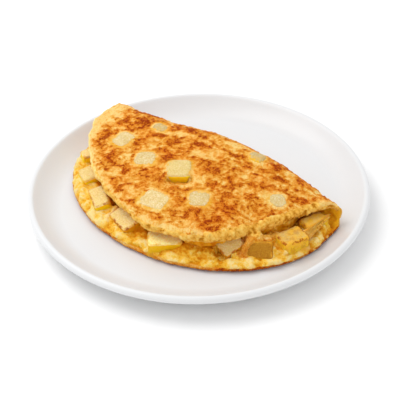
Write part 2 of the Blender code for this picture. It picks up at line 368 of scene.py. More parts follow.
def plate_profile():
    """From the middle of the underside round the rim to the middle of the top."""
    foot_inner = FOOT_RADIUS - FOOT_WIDTH
    under = FLOOR_HEIGHT - PLATE_WALL
    points = [Vector((0, 0, under)), Vector((foot_inner - 4 * MM, 0, under)),
              Vector((foot_inner - 1 * MM, 0, 0.8 * MM)), Vector((foot_inner + 0.6 * MM, 0, 0)),
              Vector((FOOT_RADIUS - 0.8 * MM, 0, 0)), Vector((FOOT_RADIUS, 0, 0.7 * MM)),
              Vector((FOOT_RADIUS + 1.5 * MM, 0, FOOT_DEPTH))]
    first, last = points[-1], lip_point(UNDER_JOIN)
    points += [Vector((first.x + (last.x - first.x) * t, 0, first.z + (last.z - first.z) * t ** 2.3))
               for t in (i / 20 for i in range(1, 20))]
    points += [lip_point(UNDER_JOIN + (LIP_JOIN - UNDER_JOIN) * i / 16) for i in range(17)]
    join = points[-1]
    for i in range(1, 27):
        inward = (i / 26) ** 0.8
        rise = (join.z - FLOOR_HEIGHT) * (1.0 - inward) ** 1.9
        points.append(Vector((join.x + (FLOOR_RADIUS - join.x) * inward, 0, FLOOR_HEIGHT + rise)))
    points += [Vector((FLOOR_RADIUS * k / 4, 0, FLOOR_HEIGHT)) for k in (3, 2, 1, 0)]
    return points


print("outline of the plate", len(plate_profile()), "points")

# %% Plate: turning it round
PLATE_STEPS = 192
SPIN_WELD = 0.005 * MM                # joins the points on the axis
bm = bmesh.new()
profile = [bm.verts.new(p) for p in plate_profile()]
rim = [bm.edges.new(pair) for pair in zip(profile, profile[1:])]
bmesh.ops.spin(bm, geom=profile + rim, cent=(0, 0, 0), axis=(0, 0, 1), dvec=(0, 0, 0),
               angle=math.tau, steps=PLATE_STEPS, use_merge=True)
bmesh.ops.remove_doubles(bm, verts=bm.verts, dist=SPIN_WELD)
bmesh.ops.recalc_face_normals(bm, faces=bm.faces)
dinner_plate = new_piece("dinner_plate", bm)
print("plate", len(dinner_plate.data.vertices), "points")

# %% [markdown]
# Glaze is a thin layer of glass over white clay.  A mirror-like coat would show the lamp as a
# hard square, but this glaze is satin: the sheen is broad and only a faint clear coat lies over
# it.  It pooled a little unevenly and has fine pinholes, which keeps it from looking like plastic.

# %% Plate: glaze
graph = Graph("white glaze")
pooling = graph.noise(0.05, 2.0)
pinholes = graph.noise(0.0006, 2.0)
glaze = graph.finish(
    Base_Color=graph.ramp(pooling, [(0.3, (0.730, 0.737, 0.746)), (0.7, (0.742, 0.749, 0.758))]),
    Roughness=graph.span(pooling, 0.3, 0.7, 0.34, 0.40),
    Normal=graph.bump(graph.math('ADD', pooling, graph.math('MULTIPLY', pinholes, 0.04)), 0.0004, 0.25),
    Coat_Weight=0.06, Coat_Roughness=0.12)
finish_piece(dinner_plate, glaze, "plate")

# %% [markdown]
# ## The folded egg
#
# The egg was fried as one thick sheet with the potatoes in it, so it runs up to each die and
# grips it without a gap.  It could be a plain sheet with holes cut for the dice, but then each
# join would show as a hard seam.  The piece is therefore remeshed from the solid sheet together
# with its dice, and the smoothing after the remesh gives the fillets.

# %% Egg: the dice that it grips
dice_names = sorted(n for n in nodes if n.startswith("potato_"))
top_dice = [n for n in dice_names if "top" in n]
front_dice = [n for n in dice_names if "front" in n]
print(len(front_dice), "dice in the open front and", len(top_dice), "in the upper skin")

# %% [markdown]
# Low collars around the front dice and dabs of set egg between them make the lumpy bed that
# they sit in.  A dab is a squashed ball.  It melts into the sheet when everything is remeshed,
# so it may overlap whatever it likes.

# %% Egg: dabs of set egg
# place and size of each dab, in millimetres
# a lobe hangs from the upper leaf between the sixth and the seventh front die
LOBE = (((73.5, -33.0, 26.0), (14, 10, 7)), ((73.0, -37.5, 25.0), (7, 8, 6)),
        ((72.6, -41.0, 23.0), (4.5, 7, 6)), ((72.0, -44.0, 20.0), (3.6, 6, 6.5)))
# heaps fill the gaps beside and behind the front dice four to nine
HEAPS = (((35.0, -64.5, 16.0), (20, 12, 12)), ((44.0, -61.0, 15.0), (12, 10, 9)),
         ((-36.0, -58.0, 15.0), (10, 12, 9)), ((88.5, -29.0, 15.5), (9, 9, 9)),
         ((102.0, 1.0, 13.5), (13, 18, 9)), ((101.5, 10.0, 15.0), (11, 16, 10)),
         ((81.0, -20.0, 19.0), (15, 12, 9)), ((67.5, -31.0, 21.0), (16, 12, 12)),
         ((79.5, -27.5, 21.0), (13, 10, 9)), ((47.5, -57.0, 16.0), (9, 10, 9)))


def add_dab(bm, place, size):
    made = bmesh.ops.create_icosphere(bm, subdivisions=2, radius=0.5)["verts"]
    bmesh.ops.scale(bm, vec=Vector(size) * MM, verts=made)
    bmesh.ops.translate(bm, vec=Vector(place) * MM, verts=made)


print(len(LOBE), "dabs in the lobe,", len(HEAPS), "heaps")

# %% [markdown]
# A collar must not stick out in front of the leaf that carries it.  The leaf's front edge is
# therefore read off the solid sheet first, so that it still fits when a size changes.

# %% Egg: front edge of the lower leaf
LEAF_MIDDLE = 22.5 * MM               # between the two leaves at the front
COLUMN = 8 * MM                       # the edge is read off in columns of this width


def lower_outline():
    """Front edge of the lower leaf along the fold, read off the solid sheet."""
    points = np.array([list(v.co) for v in nodes["egg_fold"].data.vertices])
    points = points[points[:, 2] < LEAF_MIDDLE]
    columns = np.round(points[:, 0] / COLUMN).astype(int)
    found = np.unique(columns)
    return found * COLUMN, np.array([points[columns == c, 1].min() for c in found])


outline = lower_outline()
print("foremost point of the lower leaf at y = %.1f mm" % (outline[1].min() / MM))

# %% [markdown]
# Now everything goes into one mesh, and the remesh melts it together.  The dice are grown very
# slightly, which closes the seats of the solid model.  A collar is the same die once more, grown
# further and lowered, so it fits its die whatever form that has.

# %% Egg: a grown copy of a die
COLLAR_INSET = 3.0 * MM               # a collar stays this far behind the front edge


def add_grown(bm, node, spread, lower=0.0):
    """Adds a node to a mesh, grown on all sides about its own middle, with its top lowered."""
    first = len(bm.verts)
    bm.from_mesh(nodes[node].data)
    bm.verts.ensure_lookup_table()
    verts = bm.verts[first:]
    low, high = (Vector(corner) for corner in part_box(node))
    middle = (low + high) / 2
    bmesh.ops.translate(bm, vec=-middle, verts=verts)
    bmesh.ops.scale(bm, vec=[1.0 + 2.0 * spread / side for side in high - low], verts=verts)
    bmesh.ops.translate(bm, vec=middle - Vector((0.0, 0.0, lower)), verts=verts)
    for vert in verts:
        vert.co.z = max(vert.co.z, low.z)
        if lower:
            vert.co.y = max(vert.co.y, np.interp(vert.co.x, *outline) + COLLAR_INSET)


print("a collar stays %.0f mm behind the front edge" % (COLLAR_INSET / MM))

# %% Egg: the sheet and what is set in it
EGG_VOXEL = 1.05 * MM
EGG_SMOOTHING = 6
OVERLAP = 0.15 * MM                   # closes half of the gap that the solid model leaves at its seats
COLLAR_SPREAD, COLLAR_LOWER = 1.6 * MM, 6.5 * MM
LEANING = ("potato_front_6", "potato_front_7")            # slabs that lean on the egg, without a collar
bm = bmesh.new()
bm.from_mesh(nodes["egg_fold"].data)
for name in dice_names:
    add_grown(bm, name, OVERLAP)
for name in front_dice:
    if name not in LEANING:
        add_grown(bm, name, COLLAR_SPREAD, COLLAR_LOWER)
for place, size in LOBE + HEAPS:
    add_dab(bm, place, size)
bmesh.ops.remove_doubles(bm, verts=bm.verts, dist=WELD)
egg = new_piece("egg_sheet", bm)
remesh(egg, EGG_VOXEL, EGG_SMOOTHING)
base = read_points(egg, "co")
facing = read_points(egg, "normal")
x, y, z = base.T
print("egg points", len(base))

# %% [markdown]
# Every point of the sheet has to learn what it is, because one piece carries the fried skin, the
# spongy cut edge and the soft bed.  Painting by hand would not follow a change of size, so
# distances are measured instead: to the front edge of the upper leaf, and to the potatoes.

# %% Egg: distances
REACH = 9.0 * MM                      # distances to potatoes are measured up to this
EDGE_STEP = 2 * MM
UPPER_LEAF = 30 * MM                  # only the upper leaf is higher than this


def distance_to(pieces, points):
    """Distance from each point to the nearest of some nodes, up to the reach."""
    result = np.full(len(points), REACH)
    for name in pieces:
        source = nodes[name].data
        tree = BVHTree.FromPolygons([v.co.copy() for v in source.vertices],
                                    [tuple(p.vertices) for p in source.polygons])
        low, high = (np.array(c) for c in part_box(name))
        close = np.all((points > low - REACH) & (points < high + REACH), axis=1)
        for i in np.nonzero(close)[0]:
            hit = tree.find_nearest(Vector(points[i]), REACH)
            if hit[0] is not None:
                result[i] = min(result[i], hit[3])
    return result


def front_edge(points, chosen):
    """Front edge of the chosen part of the sheet, a step apart along the fold."""
    columns = np.round(points[:, 0] / EDGE_STEP).astype(int)
    return np.array([(column * EDGE_STEP, points[chosen & (columns == column), 1].min())
                     for column in np.unique(columns[chosen])])


def distance_in_plan(points, line):
    result = np.full(len(points), 1.0)
    for px, py in line:
        result = np.minimum(result, np.hypot(points[:, 0] - px, points[:, 1] - py))
    return result


near_top = distance_to(top_dice, base)
near_front = distance_to(front_dice, base)
upper_edge = front_edge(base, (z > UPPER_LEAF) & (facing[:, 2] > 0.35))
from_edge = np.minimum(distance_in_plan(base, upper_edge), np.abs(x).max() - np.abs(x))
print("the upper leaf's front edge has", len(upper_edge), "points")

# %% [markdown]
# The upper leaf ends in a thick spongy edge, which faces the front and wraps round both ends.
# On the right half that edge slopes back, so that more of the leaf's inside shows: there a
# ragged band of the top counts as cut too.

# %% Egg: the cut edge of the upper leaf
EDGE_DEPTH = 14 * MM                  # nothing further in than this is cut
FOLD_START = 30 * MM                  # nothing further back than this is cut, because the fold starts
steep = 1.0 - ease(facing[:, 2], 0.25, 0.65)
at_ends = ease(np.abs(facing[:, 0]), 0.55, 0.85)
towards_front = ease(-facing[:, 1], 0.1, 0.45)
upper_front = (z > LEAF_MIDDLE) * (y < FOLD_START)
cut = upper_front * steep * np.maximum(towards_front, at_ends) * (from_edge < EDGE_DEPTH)
ragged = cloud(base, 5.0 * MM, 3, 18.0)
slope = (0.2 + 3.0 * ease(x, 46 * MM, 68 * MM) + 1.5 * ragged) * MM       # width of the band
band = (1.0 - ease(from_edge - slope, 0.0, 1.8 * MM)) * (facing[:, 2] > 0.0)
band *= ease(x, 20 * MM, 40 * MM) * (1.0 - ease(x, 93 * MM, 100 * MM))
cut = np.maximum(cut, band * upper_front)
print("share of cut edge %.3f" % cut.mean())

# %% [markdown]
# The lower leaf carries the soft bed on top and a browned crust round its foot.  The lobe
# between two dice belongs to the skin, and `inner` is the moist inside of the fold that shows
# where it lies open at the right end.

# %% Egg: bed, lobe, crust and skin
LOBE_REACH = 6.0 * MM
LOBE_TOP = 28.5 * MM                  # above that, the lobe is the edge of the leaf
CRUST_FADE = 2.2 * MM
bed = (z <= LEAF_MIDDLE) * ease(facing[:, 2], -0.15, 0.35) * ease(z, 11.5 * MM, 14.0 * MM)
lobe = np.zeros(len(base))
for place, size in LOBE[1:]:
    lobe = np.maximum(lobe, np.linalg.norm(base - np.array(place) * MM, axis=1) < LOBE_REACH)
lobe *= z < LOBE_TOP
bed, cut = bed * (1.0 - lobe), cut * (1.0 - lobe)
inner = (ease(x, 85 * MM, 95 * MM) * ease(y, 8 * MM, 15 * MM) * (z > 12.5 * MM) * (z < 26.5 * MM)
         * np.maximum(ease(-facing[:, 1], 0.0, 0.3), ease(-facing[:, 2], 0.1, 0.4)))
crust_top = 10.8 * MM + 1.8 * MM * ease(x, 35 * MM, 80 * MM)
crust = (z <= LEAF_MIDDLE) * (1.0 - ease(z, crust_top, crust_top + CRUST_FADE))
skin = np.clip(1.0 - cut - bed, 0.0, 1.0)
print("share of soft bed %.3f, of crust %.3f" % (bed.mean(), crust.mean()))

# %% [markdown]
# ## Browning
#
# The skin browned where it touched the pan.  It could all be left to noise, but the strongest
# scorch marks and the palest patches catch the eye, so they have places of their own, and noise
# fills in the rest.

# %% Egg: scorch marks and pale patches
# place along and across the fold, reach along and across, in millimetres, and strength
SCORCHES = (
    (-64, 17, 7, 5, 2.6), (-81, 12, 4, 9, 1.5), (-82, -8, 4, 9, 1.6), (-78, -20, 6, 5, 1.3),
    (-59, -34, 5, 5, 1.7), (-43, 8, 6, 3, 1.4), (-27, 4, 5, 4, 1.0), (-23, 24, 4, 4, 1.6),
    (-72, 31, 10, 5, 1.6), (-36, 37, 7, 3, 1.2), (12, 19, 6, 2.5, 1.7), (22, 18, 3, 2, 2.0),
    (-7, 14, 4, 2.5, 1.9), (9, 0, 7, 3, 1.7), (20, -5, 8, 3.5, 2.2), (33, -6, 4, 2.5, 1.8),
    (58, 3, 3, 1.4, 2.0), (62, 19, 5, 3, 1.6), (47, 18, 6, 4, 1.0), (88, 12, 3, 2.5, 3.0),
    (92, 18, 2, 2, 2.0), (71, 9, 3, 2.5, 1.8), (55, 28, 8, 3, 1.9), (77, -17, 3, 4, 1.5),
    (66, -38, 2, 4, 1.6), (47, -31, 7, 8, 1.1), (45, -47, 6, 6, 1.0), (53, -54, 5, 3.5, 3.2),
    (32, -52, 9, 4, 0.9), (13, -68, 5, 2.5, 2.0), (0, -68, 3, 2.5, 1.6), (-15, -63, 4, 4, 1.7),
    (-33, -57, 4, 4, 1.6), (-49, -51, 4, 2.5, 1.6), (-13, -33, 7, 6, 1.4), (-21, -11, 5, 4, 1.5),
    (-53, -8, 4, 5, 0.9), (7, -34, 4, 2, 1.5), (-41, -37, 5, 5, 0.9), (26, -19, 4, 3, 0.9),
)
PALE_PATCHES = (
    (-97, 5, 9, 32, 2.4), (-87, 15, 5, 6, 1.6), (-48, -46, 6, 4, 1.6), (-29, 17, 8, 4, 1.4),
    (-2, 3, 12, 6, 1.2), (12, -26, 4, 9, 1.3), (57, -41, 4, 6, 0.9), (9, 26, 6, 5, 1.0),
    (50, 9, 6, 5, 0.9), (96, 24, 8, 8, 1.6), (-22, -52, 8, 5, 0.8), (35, -62, 16, 3, 1.0),
    (-70, -2, 7, 5, 0.8), (66, -5, 6, 5, 0.8), (0, -30, 8, 3, 1.2),
)
wobble = cloud(base, 4 * MM, 3, 11.0)


def marks(list_of_marks):
    """Soft spots with a ragged outline, summed up at each point of the egg."""
    total = np.zeros(len(base))
    for px, py, reach_x, reach_y, strength in list_of_marks:
        apart = np.hypot((x / MM - px) / reach_x, (y / MM - py) / reach_y)
        total += strength * np.exp(-(apart * (1.0 + 0.35 * wobble)) ** 2)
    return total


print(len(SCORCHES), "scorch marks and", len(PALE_PATCHES), "pale patches")

# %% [markdown]
# Several noises make the pattern: crumbly spots at the left, fine grain and freckles in the
# middle, streaks along the fold at the back and the right, and the winding brown lines where
# the blotches meet.  Egg that touches a flush die stays pale, with a browned ring round it, and
# the leaf's edge is pale because it curled up off the pan.

# %% Egg: how brown each point got
blotches = cloud(base, 8.0 * MM, 3, 6.0)
lumps = cloud(base, 7.0 * MM, 3, 2.0)
spots = cloud(base, 4.2 * MM, 3, 7.0)
grain = cloud(base, 2.0 * MM, 2, 4.0)
freckles = cloud(base, 2.9 * MM, 3, 15.0)
streaks = cloud(base, 4.5 * MM, 3, 5.0, stretch=(3.4, 1.0, 1.0))
leftward = 1.0 - ease(x, -50 * MM, 0.0)
streaky = np.maximum(ease(x, 30 * MM, 80 * MM), ease(y, -5 * MM, 22 * MM))
wrinkles = np.exp(-(cloud(base, 9.0 * MM, 3, 16.0, stretch=(1.6, 1.0, 1.0)) / 0.17) ** 2)
raw = (0.75 * blotches + (0.15 + 0.6 * leftward) * spots * (1.0 - 0.6 * streaky)
       + 1.0 * freckles + 1.1 * streaky * streaks + 0.55 * grain + 1.3 * wrinkles * (0.7 + blotches))
raw = raw / raw.std() + 1.15 * marks(SCORCHES) - 1.1 * marks(PALE_PATCHES)
ring = np.exp(-((near_top - 2.6 * MM) / (1.3 * MM)) ** 2)
raw += 0.7 * ring * (0.5 + spots) - 1.8 * np.exp(-(near_top / (1.5 * MM)) ** 2)
raw -= 2.6 * np.exp(-(from_edge / ((4.0 + 1.5 * blotches) * MM)) ** 2)
print("browning before ranking: %.2f to %.2f" % (raw.min(), raw.max()))

# %% [markdown]
# The sum is then ranked, so that a share of 0.1 means that a tenth of the skin is paler.  That
# makes it easy to say how much of the skin has which colour.  The lower leaf, the lobe and the
# crust get shares of their own.

# %% Egg: ranking of the browning
LOBE_BROWNING, CRUST_BROWNING = 0.55, 0.93
HALO_WIDTH = 2.2 * MM                 # the thin film of set egg round each die


def ranked(values, chosen):
    """Share of the chosen points that have a lower value."""
    order = np.sort(values[chosen])
    return np.searchsorted(order, values) / len(order)


browning = ranked(raw, (skin > 0.9) & (z > LEAF_MIDDLE))
low_skin = np.clip(0.40 + 0.16 * raw, 0.05, 0.8)
browning = np.where(z > LEAF_MIDDLE, browning, low_skin)
browning = np.where(lobe > 0, LOBE_BROWNING + 0.1 * spots, browning)
scorched = CRUST_BROWNING + 0.07 * spots
browning = browning + (scorched - browning) * crust * ease(spots + 0.9, 0.0, 0.5)
uneven = ease(lumps + 0.4 * spots, -0.2, 0.5)
store(egg, "browning", browning)
store(egg, "cut", cut)
store(egg, "bed", bed)
store(egg, "halo", uneven * np.exp(-(np.minimum(near_top, near_front) / HALO_WIDTH) ** 2))
print("share of the egg browner than 0.8: %.2f" % (browning > 0.8).mean())

# %% [markdown]
# ## Relief
#
# The relief follows the same fields.  Waves bend the whole sheet, the browned crumbs stand a
# little proud because they puffed up on the pan, and the cut edge and the bed are lumpier.  It
# fades round the dice, which sit calmly in the egg, and under the foot, which lies flat.

# %% Egg: relief
waves = cloud(base, 24 * MM, 2, 1.0)
curds = 1.0 - cells(base, 5.5 * MM, 3.0)
heaps = cloud(base, 11.0 * MM, 2, 17.0)
pits = ease(cloud(base, 4.0 * MM, 2, 14.0), 0.20, 0.70)
skin_relief = 0.7 * waves + 0.45 * lumps + 0.40 * grain + 0.50 * (np.clip(browning, 0, 1) - 0.5)
cut_relief = 1.0 - ease(x, 60 * MM, 88 * MM) + 0.9 * lumps + 0.35 * grain + 0.9 * waves - 0.5 * pits
bed_relief = np.clip(1.0 * (curds - 0.45) + 1.4 * lumps + 1.1 * heaps, -2.0, 1.5) + 0.40 * grain
relief = skin * skin_relief + cut * cut_relief + bed * bed_relief         # in millimetres
flush = np.exp(-(near_top / (2.5 * MM)) ** 2)
relief = relief * (1.0 - 0.85 * flush) + 0.10 * flush
relief *= 1.0 - 0.7 * lobe
relief -= (relief + 0.3) * np.exp(-(near_front / (1.0 * MM)) ** 2)
settle = 0.2 + 0.8 * ease(z, 10.3 * MM, 13 * MM)
print("relief from %.1f to %.1f mm" % (relief.min(), relief.max()))

# %% [markdown]
# The side of the lower leaf bulges out a little, and under that bulge it curls in towards the
# plate, more so at the right.

# %% Egg: bulge and curl of the lower leaf's side
side_on = ease(np.hypot(facing[:, 0], facing[:, 1]), 0.2, 0.6) * (z <= LEAF_MIDDLE)
bulge = 1.1 * ease(z, 9.6 * MM, 11.2 * MM) * (1.0 - ease(z, 13 * MM, 17 * MM))
curl = (0.5 + 2.7 * ease(x, 25 * MM, 70 * MM)) * (1.0 - ease(z, 9.3 * MM, 11.2 * MM))
moved = base + facing * ((relief * settle + (bulge - curl) * side_on) * MM)[:, None]
print("largest move %.1f mm" % (np.linalg.norm(moved - base, axis=1).max() / MM))

# %% [markdown]
# A few places have a form of their own.  In front of the third die of the skin the egg sank into
# a small hollow, so that the die's yellow side shows.  The hollow is cut by lowering the points
# to a ramp that starts at the die's foot and rises away from it.

# %% Egg: hollow in front of the third die of the skin
HOLLOW_TURN = math.radians(34)        # the way the hollow opens, turned from the front
HOLLOW_HALF = 10.5 * MM
die_low, die_high = (np.array(corner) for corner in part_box("potato_top_3"))
die_middle = (die_low + die_high) / 2
aside, ahead = x - die_middle[0], y - die_middle[1]
sideways = aside * math.cos(HOLLOW_TURN) + ahead * math.sin(HOLLOW_TURN)
forward = aside * math.sin(HOLLOW_TURN) - ahead * math.cos(HOLLOW_TURN)
ramp = (die_low[2] + 1.2 * MM + 0.48 * (forward - 9 * MM) + 6 * MM * (sideways / HOLLOW_HALF) ** 4
        + 0.4 * MM * grain)
hollow = (z > LEAF_MIDDLE + 3 * MM) & (forward > 8.2 * MM) & (forward < 20 * MM) & (facing[:, 2] > -0.5)
moved[hollow, 2] = np.minimum(moved[hollow, 2], ramp[hollow])
scoop = hollow & (np.abs(sideways) < 10 * MM) & (forward < 15 * MM)
moved[scoop, 2] = np.minimum(ramp[scoop], die_low[2] + 5.0 * MM)
print("points in the hollow", scoop.sum())

# %% [markdown]
# The bed dips in front of the sixth front die, which shows more of its face, and the upper leaf
# is drawn back where the fold lies open at its right end.  At last the crest is flattened with a
# soft limit, so that the relief ends just below the top of the solid sheet.

# %% Egg: dip, open end and crest
DIP_PLACE, DIP_REACH = (59.5 * MM, -52.5 * MM), (6.5 * MM, 5.5 * MM)
DIP_FLOOR = 13.6 * MM
OPEN_END = 27 * MM                    # how far back the upper leaf reaches at the open end
CREST = 1.2 * MM
from_dip = np.hypot((x - DIP_PLACE[0]) / DIP_REACH[0], (y - DIP_PLACE[1]) / DIP_REACH[1])
dip = (from_dip < 1.0) & (z <= LEAF_MIDDLE) & (facing[:, 2] > 0)
moved[dip, 2] = np.minimum(moved[dip, 2], DIP_FLOOR + 0.5 * MM * grain[dip])
drawn = 0.8 * ease(x, 96 * MM, 104 * MM) * (z > LEAF_MIDDLE)
moved[:, 1] += drawn * np.maximum(OPEN_END - moved[:, 1], 0.0)
above = np.maximum(moved[:, 2] - (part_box("egg_fold")[1][2] - CREST), 0.0)
moved[:, 2] += CREST * np.tanh(above / CREST) - above
move_points(egg, moved)
print("points in the dip %d, top of the egg %.1f mm" % (dip.sum(), moved[:, 2].max() / MM))

# %% [markdown]
# The last numbers that the finish needs say how moist or airy the egg is, and paint light and shade.
# The cut edge is airiest and palest at the left, and its darkening towards the right is painted shade.
# The bed is painted pale where it stands proud and deep yellow in its hollows and in the shelter of
# the upper leaf: a painted highlight on its lumps and painted shade in its hollows and under the leaf.

# %% Egg: moist, airy and proud places, and painted light and shade
seat = 0.6 * scoop * (1.0 - ease(forward, 10 * MM, 14 * MM))      # yolky where the third die leaves the egg
# painted shade: the bed turns deep yellow in the shelter of the upper leaf
leaf_shade = ease(y - np.interp(x, *upper_edge.T), -3 * MM, 4 * MM) * (1.0 - 0.7 * ease(x, 72 * MM, 88 * MM))
# airiest and palest at the left; the drop towards the right is painted shade
airy = 0.98 - 0.52 * ease(x, -92 * MM, -25 * MM) - 0.10 * ease(x, 35 * MM, 70 * MM)
# the bed's paleness follows its relief: a painted highlight on the lumps and painted shade in the hollows
proud = 0.50 + 0.15 * leftward + 0.24 * bed_relief - (0.45 - 0.25 * lobe) * leaf_shade
store(egg, "inner", np.maximum(inner, seat))
store(egg, "pits", pits)
store(egg, "airy", airy + 0.12 * lumps + 0.12 * spots)
store(egg, "proud", np.clip(proud, 0.0, 1.0))
print("airy from %.2f to %.2f" % (airy.min(), airy.max()))

# %% [markdown]
# ## Finish of the egg
#
# The skin's colour is one ramp from cream through gold to dark brown.  Its stops stand at the
# shares of the skin that have each colour.  Fine noise is added to the stored share, so the
# field places a blotch and the noise gives its crumbly edge.

# %% Egg: colours
SKIN_COLOURS = [
    (0.03, (0.90, 0.635, 0.222)), (0.17, (0.86, 0.505, 0.122)), (0.38, (0.81, 0.375, 0.054)),
    (0.60, (0.72, 0.266, 0.020)), (0.80, (0.61, 0.170, 0.005)), (0.93, (0.475, 0.095, 0.0012)),
    (1.00, (0.30, 0.038, 0.0004))]
# the sponge's darkest colours are reached through the painted shade of its pits and of its right half
SPONGE_COLOURS = [(0.05, (0.52, 0.19, 0.006)), (0.30, (0.84, 0.42, 0.055)),
                  (0.58, (0.95, 0.60, 0.13)), (0.88, (1.00, 0.76, 0.30))]
BED_COLOURS = [(0.05, (0.72, 0.25, 0.002)), (0.30, (0.86, 0.43, 0.025)),
               (0.52, (0.93, 0.58, 0.085)), (0.80, (0.94, 0.72, 0.29))]
EGG_FILM = (0.80, 0.39, 0.026)        # thin set egg, where it laps over a potato
MOIST_EGG = (0.88, 0.41, 0.010)       # the inside of the fold
WARM_TINT = (1.0, 0.86, 0.70)         # some stretches of the skin are a little redder
print(len(SKIN_COLOURS), "colours of the skin, from cream to dark brown")

# %% [markdown]
# One material serves the whole sheet, and the stored numbers blend the skin, the sponge of the
# cut edge and the curdy bed into each other.  The same fine noise lifts a bump, so the crumbs
# that look brown also catch the light.

# %% Egg: finish
graph = Graph("fried egg")
crumb = graph.noise(0.0024, 4.0, 0.65)
speck = graph.noise(0.0010, 2.0, 0.6)
pores = graph.noise(0.0022, 3.0, 0.6)
level = graph.ruffled(graph.attribute("browning"), crumb, 1.05)
level = graph.ruffled(level, speck, 1.00, clamp=True)
fried = graph.ramp(level, SKIN_COLOURS)
warm = graph.math('MULTIPLY', graph.span(graph.noise(0.014, 2.0), 0.42, 0.66), 0.8)
fried = graph.mix(warm, fried, graph.mix(1.0, fried, WARM_TINT, 'MULTIPLY'))
# painted shade: the pits of the cut edge are painted darker
pit_shade = graph.math('MULTIPLY', graph.attribute("pits"), 0.28)
airiness_and_shade = graph.math('SUBTRACT', graph.attribute("airy"), pit_shade)
sponge = graph.ramp(graph.ruffled(airiness_and_shade, pores, 1.2), SPONGE_COLOURS)
curdy = graph.ruffled(graph.ruffled(graph.attribute("proud"), crumb, 1.1), speck, 0.6)
curdy = graph.ramp(curdy, BED_COLOURS)
colour = graph.mix(graph.math('MULTIPLY', graph.attribute("halo"), 0.8), fried, EGG_FILM)
colour = graph.mix(graph.span(graph.attribute("cut"), 0.25, 0.6), colour, sponge)
colour = graph.mix(graph.span(graph.attribute("bed"), 0.25, 0.6), colour, curdy)
colour = graph.mix(graph.attribute("inner"), colour, MOIST_EGG)
crumbs = graph.math('ADD', graph.math('MULTIPLY', crumb, 0.7), graph.math('MULTIPLY', speck, 0.35))
egg_finish = graph.finish(
    Base_Color=colour,
    Roughness=graph.span(level, 0.2, 0.9, 0.42, 0.62),
    Normal=graph.bump(crumbs, 0.0018, 0.9),
    Specular_IOR_Level=0.06,
    Subsurface_Weight=0.12, Subsurface_Radius=(0.0018, 0.0009, 0.0004), Subsurface_Scale=0.6)
finish_piece(egg, egg_finish, "egg_fold")

# %% [markdown]
# ## The filling
#
# Between the leaves lies soft set egg in curds, which shows as yellow lumps and dark hollows
# wherever no potato stands in front of it.  Single curds could be scattered in the gap, but they
# are stuck together in the real food, so the solid filling gets a curdy relief on its front.

# %% Filling: shape
FILLING_VOXEL = 1.1 * MM
CURD = 6.0 * MM
filling = welded_copy("filling", "soft_filling")
remesh(filling, FILLING_VOXEL, EGG_SMOOTHING)
base = read_points(filling, "co")
facing = read_points(filling, "normal")
curds = 1.0 - cells(base, CURD, 8.0)
fine = cloud(base, 2.5 * MM, 2, 9.0)
deep = cloud(base, 9.0 * MM, 2, 10.0)
front_share = ease(-facing[:, 1], 0.1, 0.5)
relief = (1.6 * (curds - 0.45) + 0.35 * fine + 0.9 * deep) * front_share
move_points(filling, base + facing * (relief * MM)[:, None])
# painted highlight and shade: the colour number follows the relief, pale where curds stand out and dark in
# the hollows
store(filling, "curds", np.clip(0.5 + 0.6 * (curds - 0.45) + 0.25 * deep + 0.15 * fine, 0.0, 1.0))
print("curds stand up to %.1f mm proud" % relief.max())

# %% [markdown]
# The curds are moister than the skin: their surface is smoother, and light goes further in.

# %% Filling: finish
CURD_COLOURS = [(0.15, (0.70, 0.22, 0.002)), (0.45, (0.86, 0.38, 0.010)),
                (0.65, (0.92, 0.50, 0.045)), (0.85, (0.95, 0.66, 0.17))]
graph = Graph("soft egg curds")
# the stored curds number paints the curds pale and the hollows between them dark: painted highlight and
# painted shade
curd_light_and_shade = graph.attribute("curds")
crumb = graph.noise(0.002, 3.0, 0.6)
curd_finish = graph.finish(
    Base_Color=graph.ramp(graph.ruffled(curd_light_and_shade, crumb, 0.5, clamp=True), CURD_COLOURS),
    Roughness=0.35,
    Normal=graph.bump(crumb, 0.0009, 0.6),
    Specular_IOR_Level=0.12,
    Subsurface_Weight=0.15, Subsurface_Radius=(0.003, 0.0015, 0.0006), Subsurface_Scale=0.6)
finish_piece(filling, curd_finish, "filling")

# %% [markdown]
# ## Potato dice
#
# A boiled and fried potato die has pale, dry, grainy cut faces on top, glassy yellow sides where
# it is still moist, and edges that browned first.  No two dice cooked alike, so each has a row
# of its own, which the shared material reads from the points.

# %% Potato dice: how each one cooked
# lightness, which above 1 is painted light on the front dice in the upper leaf's shadow, egg film
# over it, browned edges, amber sides, glassy body, which is dark partly as painted shade
COOKED = {
    "potato_front_1": (1.10, 0.14, 0.40, 0.00, 0.00),
    "potato_front_2": (1.04, 0.08, 0.15, 0.00, 0.00),
    "potato_front_3": (1.08, 0.08, 0.60, 0.00, 0.00),
    "potato_front_4": (1.08, 0.00, 0.84, 0.70, 0.00),
    "potato_front_5": (1.40, 0.05, 0.20, 0.30, 0.00),
    "potato_front_6": (1.14, 0.05, 0.80, 0.60, 0.30),
    "potato_front_7": (1.00, 0.00, 0.50, 0.60, 0.95),
    "potato_front_8": (0.76, 0.56, 1.00, 0.05, 0.00),
    "potato_front_9": (0.98, 0.62, 0.60, 0.15, 0.00),
    "potato_top_1": (0.93, 0.05, 0.20, 0.00, 0.00),
    "potato_top_2": (0.92, 0.00, 0.10, 0.00, 0.00),
    "potato_top_3": (0.95, 0.05, 0.10, 0.00, 0.00),
    "potato_top_4": (1.00, 0.00, 0.10, 0.00, 0.00),
    "potato_top_5": (0.92, 0.00, 0.40, 0.00, 0.00),
    "potato_top_6": (0.77, 0.20, 0.20, 0.00, 0.00),
    "potato_top_7": (0.74, 0.25, 0.30, 0.00, 0.00),
    "potato_top_8": (0.88, 0.15, 0.30, 0.00, 0.00),
}
FRONT_SHADE_YELLOW = 0.35                   # the front dice get a yellower dry colour, painted shade for their place under the upper leaf; the one that stands proud gets it too
print(len(COOKED), "dice")

